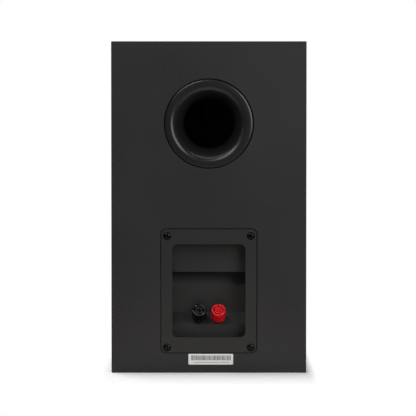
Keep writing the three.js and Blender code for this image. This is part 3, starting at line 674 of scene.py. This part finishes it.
# ---- Crossover -------------------------------------------------------------------------------------
# The filter board sits behind the sloping wall on the two stems, held by hexagon nuts. Its coils,
# capacitors and resistor keep the shapes they have in the frame, each with its own finish.
copper = grained("enamelled_copper", (0.30, 0.10, 0.03), (0.52, 0.20, 0.07), 1400, 50, (0.25, 0.4), 0.5, 0.0003,
                 Metallic=0.9)
board_green = grained("solder_mask", (0.008, 0.06, 0.02), (0.012, 0.09, 0.03), 900, 60, (0.25, 0.4), 0.2,
                      0.0001)
film = grained("capacitor_film", (0.45, 0.30, 0.03), (0.55, 0.38, 0.05), 500, 50, (0.2, 0.35), 0.1, 0.0001)
cement = grained("cement", (0.55, 0.53, 0.47), (0.68, 0.66, 0.60), 1200, 80, (0.8, 0.95), 0.5, 0.0003)


def coated(node, material):
    """A node of the frame keeps its shape and takes the material."""
    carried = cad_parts[node].data
    carried.materials.clear()
    carried.materials.append(material)


for node, material in (
        ("crossover_board", board_green), ("woofer_inductor", copper), ("tweeter_inductor", copper),
        ("woofer_capacitor", film), ("tweeter_capacitor", film), ("tweeter_resistor", cement),
        ("red_post_nut", brass), ("black_post_nut", brass)):
    coated(node, material)


# ---- Wadding ---------------------------------------------------------------------------------------
# A loose fibre mat lines the sides and the top of the box. It is pressed into the corners, and its
# free face and edges are lumpy.
wadding_low, wadding_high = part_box("wadding")
fibre = grained("polyester_fibre", (0.16, 0.16, 0.155), (0.30, 0.30, 0.29), 420, 60, (0.9, 1.0), 0.9, 0.002)
MAT = 11 * MM
inner_x = wadding_high.x - MAT
mat_outline = [(-wadding_high.x, wadding_low.z), (-inner_x, wadding_low.z), (-inner_x, wadding_high.z - MAT),
               (inner_x, wadding_high.z - MAT), (inner_x, wadding_low.z), (wadding_high.x, wadding_low.z),
               (wadding_high.x, wadding_high.z), (-wadding_high.x, wadding_high.z)]
mat = prism("fibre_mat", mat_outline, "Y", wadding_low.y + 2 * MM, wadding_high.y - 2 * MM)
remeshed = mat.modifiers.new("even", "REMESH")
remeshed.mode = "VOXEL"
remeshed.voxel_size = 4 * MM
mat = evaluated("fibre_mat", mat, fibre, 180)
for vertex in mat.data.vertices:
    swell = noise.noise(vertex.co * 60) * 2.2 * MM + noise.noise(vertex.co * 170) * 1.1 * MM - 1.2 * MM
    vertex.co += vertex.normal * swell
    for axis in range(3):
        vertex.co[axis] = min(max(vertex.co[axis], wadding_low[axis]), wadding_high[axis])
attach(mat, "cabinet")
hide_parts("wadding")


# ---- Wires -----------------------------------------------------------------------------------------
# A red and a black lead run from the board's upper edge to each driver. They are stranded copper in
# soft plastic, clipped to the wadding.
def insulation(name, dark, light):
    return grained(name, dark, light, 900, 80, (0.35, 0.5), 0.1, 0.00003)


wire_plastic = {"red": insulation("red_insulation", (0.30, 0.008, 0.010), (0.42, 0.012, 0.014)),
                "black": insulation("black_insulation", (0.006, 0.006, 0.006), (0.010, 0.010, 0.010))}


def through(points, steps=10):
    """Points along a smooth curve that passes through each of the given ones."""
    ends = [2 * points[0] - points[1], *points, 2 * points[-1] - points[-2]]
    route = []
    for i in range(1, len(ends) - 2):
        a, b, c, d = ends[i - 1:i + 3]
        for step in range(steps):
            t = step / steps
            route.append(0.5 * (2 * b + (c - a) * t + (2 * a - 5 * b + 4 * c - d) * t ** 2
                                + (3 * b - a - 3 * c + d) * t ** 3))
    return route + [points[-1]]


def wire(name, colour, points, radius=1.1 * MM):
    curve = bpy.data.curves.new(name, "CURVE")
    curve.dimensions = "3D"
    curve.bevel_depth = radius
    curve.bevel_resolution = 3
    curve.use_fill_caps = True
    spline = curve.splines.new("POLY")
    route = through([Vector(p) * MM for p in points])
    spline.points.add(len(route) - 1)
    for point, place in zip(spline.points, route):
        point.co = (*place, 1)
    holder = bpy.data.objects.new(name, curve)
    bpy.context.collection.objects.link(holder)
    lead = evaluated(name, holder, wire_plastic[colour])
    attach(lead, "cabinet")
    return lead


for colour, side in (("red", -1), ("black", 1)):
    woofer_lead = wire(f"woofer_lead_{colour}", colour, [
        (side * 6, 61, 88), (side * 9, 40, 112), (side * 14, 5, 140), (side * 13, -30, 150),
        (side * 8, -57, 143.5)])
    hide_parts(f"woofer_wire_{colour}")
    tweeter_lead = wire(f"tweeter_lead_{colour}", colour, [
        (side * 12, 61, 88), (side * 40, 40, 120), (side * 44, -5, 190), (side * 20, -30, 252),
        (side * 9, -50, 254 + side * 3), (side * 6, -71, 242)])
    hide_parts(f"tweeter_wire_{colour}")


# ---- Front baffle ----------------------------------------------------------------------------------
# The baffle is a thicker board in satin black, routed with a seat for each driver and four sockets
# for the grille's pegs.
satin_black = grained("satin_black", (0.010, 0.010, 0.0105), (0.014, 0.014, 0.0145), 1100, 10, (0.38, 0.5), 0.12,
                      0.00005)
centre_of = {}
for driver, flange_node in (("woofer", "woofer_basket"), ("tweeter", "tweeter_faceplate")):
    low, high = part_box(flange_node)
    centre_of[driver] = ((low.z + high.z) / 2, (high.x - low.x) / 2)
woofer_z, woofer_radius = centre_of["woofer"]
tweeter_z, tweeter_radius = centre_of["tweeter"]
SEAT = 0.25 * MM
PEG_INSET, PEG_RADIUS, SEAT_FLOOR = 10 * MM, 4 * MM, 5.3 * MM
peg_places = [(sx * (half_width - PEG_INSET), cabinet_top / 2 + sz * (cabinet_top / 2 - PEG_INSET))
              for sx in (-1, 1) for sz in (-1, 1)]
sockets = [circle(PEG_RADIUS + SEAT, x, z, 32) for x, z in peg_places]
for name, near, far, holes, edge in (
        ("baffle_face", front_y, front_y + SEAT_FLOOR,
         [circle(woofer_radius + SEAT, 0, woofer_z), circle(tweeter_radius + SEAT, 0, tweeter_z)], 0.8 * MM),
        ("baffle_core", front_y + SEAT_FLOOR, baffle_high.y,
         [circle(63 * MM, 0, woofer_z), circle(37 * MM, 0, tweeter_z)], 0.05 * MM)):
    board = plate(name, board_outline, holes + sockets, near, far, edge, satin_black)
    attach(board, "cabinet")
    if name == "baffle_face":
        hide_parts("front_baffle")


# ---- Woofer ----------------------------------------------------------------------------------------
# A pressed basket with four windows carries a rubber half-roll, a woven cone with a domed dust cap,
# and the magnet behind. Along each driver's own axis, + is into the cabinet from the baffle's face.
threads_tree, t_in, t_out = node_group(
    "crossed_threads",
    [("Threads per metre", "NodeSocketFloat", 1500.0), ("Dark", "NodeSocketColor", (0.01, 0.01, 0.01, 1)),
     ("Light", "NodeSocketColor", (0.02, 0.02, 0.02, 1))],
    [("Colour", "NodeSocketColor"), ("Height", "NodeSocketFloat")])
thread_place = linked(threads_tree, "ShaderNodeTexCoord")
scale = linked(threads_tree, "ShaderNodeVectorMath", {"operation": "SCALE"}, _0=thread_place.outputs["Object"])
threads_tree.links.new(t_in.outputs["Threads per metre"], scale.inputs["Scale"])
parts = linked(threads_tree, "ShaderNodeSeparateXYZ", None, _0=scale.outputs[0])
waves = [linked(threads_tree, "ShaderNodeMath", {"operation": "SINE"},
                _0=linked(threads_tree, "ShaderNodeMath", {"operation": "MULTIPLY"}, _0=parts.outputs[axis],
                          _1=math.pi).outputs[0]) for axis in ("X", "Z")]
crossed = linked(threads_tree, "ShaderNodeMath", {"operation": "MULTIPLY"}, _0=waves[0].outputs[0],
                 _1=waves[1].outputs[0])
raised = linked(threads_tree, "ShaderNodeMath", {"operation": "MULTIPLY_ADD"}, _0=crossed.outputs[0], _1=0.5,
                _2=0.5)
speck = linked(threads_tree, "ShaderNodeTexNoise", None, Vector=thread_place.outputs["Object"], Scale=900.0,
               Detail=2.0)
# The tone is the fleck times the thread height, so the hollows between the raised threads are painted shade.
level = linked(threads_tree, "ShaderNodeMath", {"operation": "MULTIPLY"}, _0=raised.outputs[0],
               _1=speck.outputs["Fac"])
tint = linked(threads_tree, "ShaderNodeMix", {"data_type": "RGBA"}, Factor=level.outputs[0])
threads_tree.links.new(t_in.outputs["Dark"], tint.inputs[6])
threads_tree.links.new(t_in.outputs["Light"], tint.inputs[7])
threads_tree.links.new(tint.outputs[2], t_out.inputs["Colour"])
threads_tree.links.new(raised.outputs[0], t_out.inputs["Height"])


def weave(name, dark, light, threads, bump, rough):
    """A cloth material: over-and-under threads from two crossed waves, with fine fleck and painted shade in the
    hollows in the tone.
    """
    material = bpy.data.materials.new(name)
    material.use_nodes = True
    tree = material.node_tree
    shader = tree.nodes["Principled BSDF"]
    shader.inputs["Roughness"].default_value = rough
    effect = tree.nodes.new("ShaderNodeGroup")
    effect.node_tree = threads_tree
    for label, value in (("Threads per metre", threads), ("Dark", (*dark, 1)), ("Light", (*light, 1))):
        effect.inputs[label].default_value = value
    relief = linked(tree, "ShaderNodeBump", None, Strength=bump, Distance=0.0003,
                    Height=effect.outputs["Height"])
    tree.links.new(effect.outputs["Colour"], shader.inputs["Base Color"])
    tree.links.new(relief.outputs["Normal"], shader.inputs["Normal"])
    return material


powder_coat = grained("powder_coat", (0.012, 0.012, 0.013), (0.019, 0.019, 0.020), 1300, 30, (0.45, 0.6), 0.35,
                      0.0001)
rubber = grained("surround_rubber", (0.008, 0.008, 0.0085), (0.012, 0.012, 0.0125), 1600, 40, (0.42, 0.55), 0.12,
                 0.00004)
cone_weave = weave("cone_weave", (0.010, 0.010, 0.011), (0.045, 0.045, 0.050), 1100, 0.5, 0.45)
dome_silk = weave("dome_silk", (0.012, 0.012, 0.013), (0.028, 0.028, 0.031), 2600, 0.3, 0.6)


def driver_piece(name, node, centre_z, outline, material, body="cabinet", around=160, cuts=()):
    """A turned piece of a driver, with + along its axis into the cabinet, and its holes cut."""
    place = Matrix.Translation((0, front_y, centre_z))
    piece = turned(name, filleted(scaled(outline)), place, material, around)
    for tool in cuts:
        piece = boolean(piece, tool, "DIFFERENCE", material)
    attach(piece, body)
    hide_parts(node)
    return piece


def window_block(index):
    """A round-cornered block that cuts one of the basket's windows."""
    block = prism("window", [(-23, 12.5), (23, 12.5), (20, 29.5), (-20, 29.5)], "Y", 30, 74)
    turn = Matrix.Rotation(index * math.pi / 2, 4, "Y") @ Matrix.Rotation(math.pi / 2, 4, "X")
    block.data.transform(Matrix.Translation((0, front_y, woofer_z)) @ turn @ Matrix.Diagonal((MM, MM, MM, 1)))
    rounding = block.modifiers.new("rounded", "BEVEL")
    rounding.width = 3 * MM
    rounding.segments = 4
    return evaluated("window", block, powder_coat)


def screw_wells(driver):
    """Cylinders that cut the wells in which a driver's screw heads sit."""
    wells = []
    for low, high in (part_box(f"{driver}_screw_{i}") for i in range(1, 5)):
        rim = circle(3.85 * MM, (low.x + high.x) / 2, (low.z + high.z) / 2, 40)
        wells.append(prism("screw_well", rim, "Y", front_y - 5 * MM, front_y + 2.45 * MM))
    return wells


def half_roll(middle, radius, along, start, end, steps=14):
    """Points of an arc in a section, in millimetres and degrees."""
    angles = [math.radians(start + (end - start) * step / steps) for step in range(steps + 1)]
    return [(middle + radius * math.cos(a), along + radius * math.sin(a), 0) for a in angles]


driver_piece("woofer_basket_pressing", "woofer_basket", woofer_z, [
    (73.5, 0, 0.9), (73.5, 5, 0.4), (61.5, 5, 0.5), (59, 10, 2), (44, 38, 3), (42, 42, 0.8), (15, 42, 0.3),
    (15, 39.5, 0.3), (38.5, 39.5, 0.5), (38.5, 32.5, 0.5), (41, 32.5, 1), (56.5, 8, 1), (58, 5, 0.4),
    (56.8, 5, 0.2), (56.8, 3, 0.2), (62.3, 3, 0.2), (62.3, 0, 0.6)], powder_coat,
    cuts=[window_block(i) for i in range(4)] + screw_wells("woofer"))
driver_piece("woofer_roll", "woofer_surround", woofer_z, [
    (62.1, 2.75, 0), *half_roll(51.5, 4.2, 2.75, 0, -180), (45.2, 2.75, 0), (45.2, 1.9, 0.2),
    *half_roll(51.5, 5.0, 1.9, -180, 0), (62.1, 1.9, 0.2)], rubber)
driver_piece("woofer_cone_woven", "woofer_cone", woofer_z, [
    (45, 3.1, 0), (47, 3.1, 0.3), (47, 4, 0.3), (44.6, 4, 0), (38, 9.0, 0), (30, 16.3, 0), (21, 22.9, 0),
    (13.9, 28, 0), (13.9, 27, 0), (20.5, 21.9, 0), (29.4, 15.3, 0), (37.5, 8.1, 0)], cone_weave,
    "woofer_diaphragm")
driver_piece("woofer_dust_dome", "woofer_dust_cap", woofer_z, [
    (0, 16.8, 0), *half_roll(0, 17.7, 34.5, -86, -33, 16), (14.26, 25.24, 0),
    *half_roll(0, 17, 34.5, -33, -86, 16), (0, 17.5, 0)], cone_weave, "woofer_diaphragm")
zinc = grained("zinc_plate", (0.32, 0.32, 0.31), (0.46, 0.46, 0.45), 700, 40, (0.3, 0.45), 0.15, 0.00005,
               Metallic=1.0)
ferrite = grained("ferrite", (0.018, 0.018, 0.020), (0.035, 0.035, 0.038), 900, 60, (0.6, 0.8), 0.4, 0.0002)
spider_cloth = weave("resin_cotton", (0.25, 0.12, 0.03), (0.50, 0.30, 0.09), 900, 0.5, 0.85)


def ripples(drop, steps=96):
    """The spider's pleats in section, dished inwards to stay clear of the cone at full travel."""
    spans = [24.3 * step / steps for step in range(steps + 1)]
    return [(38.2 - span, 30.6 + 0.115 * span + 0.6 * math.sin(span * 1.55) + drop, 0) for span in spans]


driver_piece("woofer_pleated_spider", "woofer_spider", woofer_z, ripples(0) + ripples(0.7)[::-1],
             spider_cloth, around=96)
for node, material in (
        ("woofer_voice_coil", copper), ("woofer_top_plate", zinc),
        ("woofer_magnet", ferrite), ("woofer_yoke", zinc), ("tweeter_voice_coil", copper),
        ("tweeter_motor", powder_coat)):
    coated(node, material)


# ---- Tweeter ---------------------------------------------------------------------------------------
# A coated silk dome in a shallow waveguide, moulded in one with the faceplate. A closed motor is
# fixed behind it.
driver_piece("tweeter_waveguide", "tweeter_faceplate", tweeter_z, [
    (52, 0, 0.8), (52, 4, 0.4), (30, 4, 0.4), (20, 7.5, 0.6), (16.4, 7.5, 0.2), (16.4, 5.2, 0.6), (20, 3.2, 2),
    (27, 0, 4)], moulding, cuts=screw_wells("tweeter"))
driver_piece("tweeter_roll", "tweeter_surround", tweeter_z, [
    (13.1, 7.6, 0), *half_roll(14.5, 1.1, 7.5, -180, 0, 8), (16.1, 7.6, 0), (16.1, 8, 0),
    *half_roll(14.5, 0.75, 7.9, 0, -180, 8), (13.1, 8, 0)], rubber)
driver_piece("tweeter_silk_dome", "tweeter_dome", tweeter_z, [
    (0, 1.9, 0), *half_roll(0, 13.1, 15, -86, -28, 16), (12.1, 9, 0), *half_roll(0, 12.5, 15, -32, -86, 16),
    (0, 2.5, 0)], dome_silk, "tweeter_diaphragm", 96)


# ---- Driver screws ---------------------------------------------------------------------------------
# Four black cross-head screws hold each driver to the baffle. Their heads sit in wells, flush with
# its rim.
for driver, centre_z in (("woofer", woofer_z), ("tweeter", tweeter_z)):
    nodes = [f"{driver}_screw_{i}" for i in range(1, 5)]
    places = []
    for low, high in (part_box(node) for node in nodes):
        places.append(((low.x + high.x) / 2, front_y + 2.25 * MM, (low.z + high.z) / 2))
    screws = repeat_at(f"{driver}_screws", places, cross_head("driver_screw", 3.6, 1.8, 2.0, 14, -1),
                       black_zinc, 1.4, 9)
    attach(screws, "cabinet")
    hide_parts(*nodes)


# ---- Grille ----------------------------------------------------------------------------------------
# A moulded frame with one crossbar and four pegs, under black knitted cloth pulled tight over the
# front and wrapped round the edges.
cloth_low, cloth_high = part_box("grille_cloth")
frame_low, frame_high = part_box("grille_frame")
CLOTH, RAIL, GRILLE_CORNER = 0.5 * MM, 13 * MM, 6 * MM
grille_width, grille_tall = frame_high.x - frame_low.x, frame_high.z - frame_low.z
grille_back = cloth_high.y
grille_middle = (frame_low.z + frame_high.z) / 2
bar_z = (woofer_z + woofer_radius + tweeter_z - tweeter_radius) / 2
windows = []
for low, high in ((frame_low.z + RAIL, bar_z - 6 * MM), (bar_z + 6 * MM, frame_high.z - RAIL)):
    windows.append(rounded_rectangle(grille_width - 2 * RAIL + 1.5 * MM, high - low, GRILLE_CORNER, 6, 0,
                                     (low + high) / 2))
hoop = plate("grille_hoop", rounded_rectangle(grille_width, grille_tall, GRILLE_CORNER, 8, 0, grille_middle),
             windows, front_y - 0.25 * MM, frame_low.y, 1.2 * MM, moulding)
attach(hoop, "grille")
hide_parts("grille_frame")

peg_outline = filleted(scaled([(0, -1.5, 0), (4, -1.5, 0), (4, 8.2, 0.4), (3.4, 10, 0.9), (0, 10, 0)]))
peg_shape = turned("peg", peg_outline, Matrix.Identity(4), moulding, 32)
pegs = repeat_at("grille_pegs", [(x, front_y, z) for x, z in peg_places], peg_shape, moulding)
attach(pegs, "grille")

knit = weave("grille_knit", (0.004, 0.004, 0.0045), (0.014, 0.014, 0.015), 1250, 0.8, 0.9)


def stretched_cloth(name, steps=6):
    """The cloth as a thin skin: a flat front that rolls over the frame's edge and back along its sides."""
    front, back = cloth_low.y + CLOTH / 2, grille_back - 0.2 * MM
    roll = 2.2 * MM
    width, tall = (cloth_high.x - cloth_low.x) - CLOTH, (cloth_high.z - cloth_low.z) - CLOTH
    section = [(0.0, back)] + [(roll - roll * math.cos(a), front + roll - roll * math.sin(a))
                               for a in (math.radians(90 * step / steps) for step in range(steps + 1))]
    vertices, faces = [], []
    loops = []
    for inset, y in section:
        loop = rounded_rectangle(width - 2 * inset, tall - 2 * inset, GRILLE_CORNER + 0.75 * MM - inset, 8, 0,
                                 grille_middle)
        loops.append(len(vertices))
        vertices += [(x, y, z) for x, z in loop]
    count = len(loop)
    for a, b in zip(loops, loops[1:]):
        faces += [(a + i, a + (i + 1) % count, b + (i + 1) % count, b + i) for i in range(count)]
    faces.append(tuple(range(loops[-1], loops[-1] + count)))
    skin = solid(name, vertices, faces, knit)
    thick = skin.modifiers.new("thickness", "SOLIDIFY")
    thick.thickness = CLOTH
    thick.offset = 0
    return evaluated(name, skin, knit), (width, tall, back - front)


cloth, (cloth_width, cloth_tall, wrap) = stretched_cloth("grille_cloth_skin")
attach(cloth, "grille")
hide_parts("grille_cloth")


# ---- Studio ----------------------------------------------------------------------------------------
# A pale floor that melts into a white surround a short way from the cabinet, under a wide soft light
# from above and a softer key from the right of the view, seen through a long lens.
def area_light(name, place, aim, size_x, size_y, watts, colour=(1, 1, 1)):
    lamp = bpy.data.lights.new(name, "AREA")
    lamp.shape = "RECTANGLE"
    lamp.size, lamp.size_y, lamp.energy, lamp.color = size_x, size_y, watts, colour
    holder = bpy.data.objects.new(name, lamp)
    holder.location = place
    holder.rotation_euler = (Vector(aim) - Vector(place)).to_track_quat("-Z", "Y").to_euler()
    bpy.context.collection.objects.link(holder)
    return holder


FLOOR_REACH, FADE_FROM, FADE_TO, SIDE_HASTE = 1.2, 0.0, 0.11, 12
floor_sheet = bpy.data.meshes.new("floor")
floor_sheet.from_pydata([(-FLOOR_REACH, -FLOOR_REACH, 0), (FLOOR_REACH, -FLOOR_REACH, 0),
                         (FLOOR_REACH, FLOOR_REACH, 0), (-FLOOR_REACH, FLOOR_REACH, 0)], [], [(0, 1, 2, 3)])
floor = bpy.data.objects.new("floor", floor_sheet)
bpy.context.collection.objects.link(floor)
floor_paint = bpy.data.materials.new("floor_paint")
floor_paint.use_nodes = True
paint = floor_paint.node_tree
paint_shader = paint.nodes["Principled BSDF"]
paint_shader.inputs["Base Color"].default_value = (0.92, 0.92, 0.92, 1)
paint_shader.inputs["Roughness"].default_value = 0.9
paint_shader.inputs["Specular IOR Level"].default_value = 0.0
spot = linked(paint, "ShaderNodeTexCoord")
folded = linked(paint, "ShaderNodeVectorMath", {"operation": "ABSOLUTE"}, _0=spot.outputs["Object"])
beyond = linked(paint, "ShaderNodeVectorMath", {"operation": "SUBTRACT"}, _0=folded.outputs[0],
                _1=(half_width, rear_y, 0))
clear = linked(paint, "ShaderNodeVectorMath", {"operation": "MAXIMUM"}, _0=beyond.outputs[0], _1=(0, 0, 0))
clear = linked(paint, "ShaderNodeVectorMath", {"operation": "MULTIPLY"}, _0=clear.outputs[0],
               _1=(SIDE_HASTE, 1, 1))
away = linked(paint, "ShaderNodeVectorMath", {"operation": "LENGTH"}, _0=clear.outputs[0])
solidity = linked(paint, "ShaderNodeMapRange", {"interpolation_type": "LINEAR"}, Value=away.outputs["Value"],
                  **{"From Min": FADE_FROM, "From Max": FADE_TO, "To Min": 1.0, "To Max": 0.0})
paint.links.new(solidity.outputs[0], paint_shader.inputs["Alpha"])
floor.data.materials.append(floor_paint)

world = bpy.data.worlds.new("studio")
bpy.context.scene.world = world
world.use_nodes = True
sky = world.node_tree
backdrop = sky.nodes["Background"]
backdrop.inputs["Color"].default_value = (1, 1, 1, 1)
seen = linked(sky, "ShaderNodeLightPath")
way = linked(sky, "ShaderNodeSeparateXYZ", None, _0=linked(sky, "ShaderNodeTexCoord").outputs["Generated"])
AMBIENT, BOUNCE, FRONT, FAR_SIDE, WHITE = 0.05, 0.12, 0.05, 0.45, 1.0
lit = linked(sky, "ShaderNodeMapRange", None, Value=way.outputs["Z"],
             **{"From Min": -0.03, "From Max": -0.3, "To Min": AMBIENT, "To Max": BOUNCE})
ahead = linked(sky, "ShaderNodeMapRange", None, Value=way.outputs["Y"],
               **{"From Min": 0.5, "From Max": 0.95, "To Min": 0.0, "To Max": FRONT})
behind = linked(sky, "ShaderNodeMapRange", None, Value=way.outputs["Y"],
                **{"From Min": -0.05, "From Max": -0.6, "To Min": 0.0, "To Max": FAR_SIDE})
lit = linked(sky, "ShaderNodeMath", {"operation": "ADD"}, _0=lit.outputs[0], _1=ahead.outputs[0])
lit = linked(sky, "ShaderNodeMath", {"operation": "ADD"}, _0=lit.outputs[0], _1=behind.outputs[0])
level = linked(sky, "ShaderNodeMapRange", None, Value=seen.outputs["Is Camera Ray"], **{"To Max": WHITE})
sky.links.new(lit.outputs[0], level.inputs["To Min"])
sky.links.new(level.outputs[0], backdrop.inputs["Strength"])

area_light("overhead_softbox", (0, 0.12, 1.1), (0, 0.12, 0), 1.1, 0.34, 2.5)
area_light("key_softbox", (-0.55, 0.765, 0.46), (0, rear_y, 0.2), 0.45, 0.65, 3.5)
area_light("top_softbox", (0.32, 0.48, 0.72), (0.06, rear_y, 0.3), 0.6, 0.2, 1.7)
area_light("front_softbox", (0.7, -1.2, 0.9), (0, front_y, 0.15), 0.8, 0.8, 16)
area_light("side_softbox", (1.3, -0.1, 0.7), (0, 0, 0.15), 0.6, 0.6, 6)
floor_glow = area_light("floor_glow", (0, 0.245, 0.004), (0, 0.245, 1), 0.7, 0.22, 0.20, (1, 0.94, 0.86))
floor_glow.visible_camera = False

VIEW_DISTANCE, VIEW_PITCH, VIEW_WIDTH = 2.5, math.radians(2.37), 0.4050
SIDEWAYS, DOWN = 0.83 * MM, 0.57 * MM
focus = Vector((SIDEWAYS, rear_y, cabinet_top / 2 - DOWN))
lens = bpy.data.cameras.new("camera")
lens.sensor_width = 36
lens.lens = lens.sensor_width * VIEW_DISTANCE / VIEW_WIDTH
lens.clip_end = 100
camera = bpy.data.objects.new("camera", lens)
back_off = Vector((0, math.cos(VIEW_PITCH), math.sin(VIEW_PITCH))) * VIEW_DISTANCE
camera.location = focus + back_off
camera.rotation_euler = (-back_off).to_track_quat("-Z", "Y").to_euler()
bpy.context.collection.objects.link(camera)
bpy.context.scene.camera = camera
bpy.context.scene.view_settings.view_transform = "Standard"
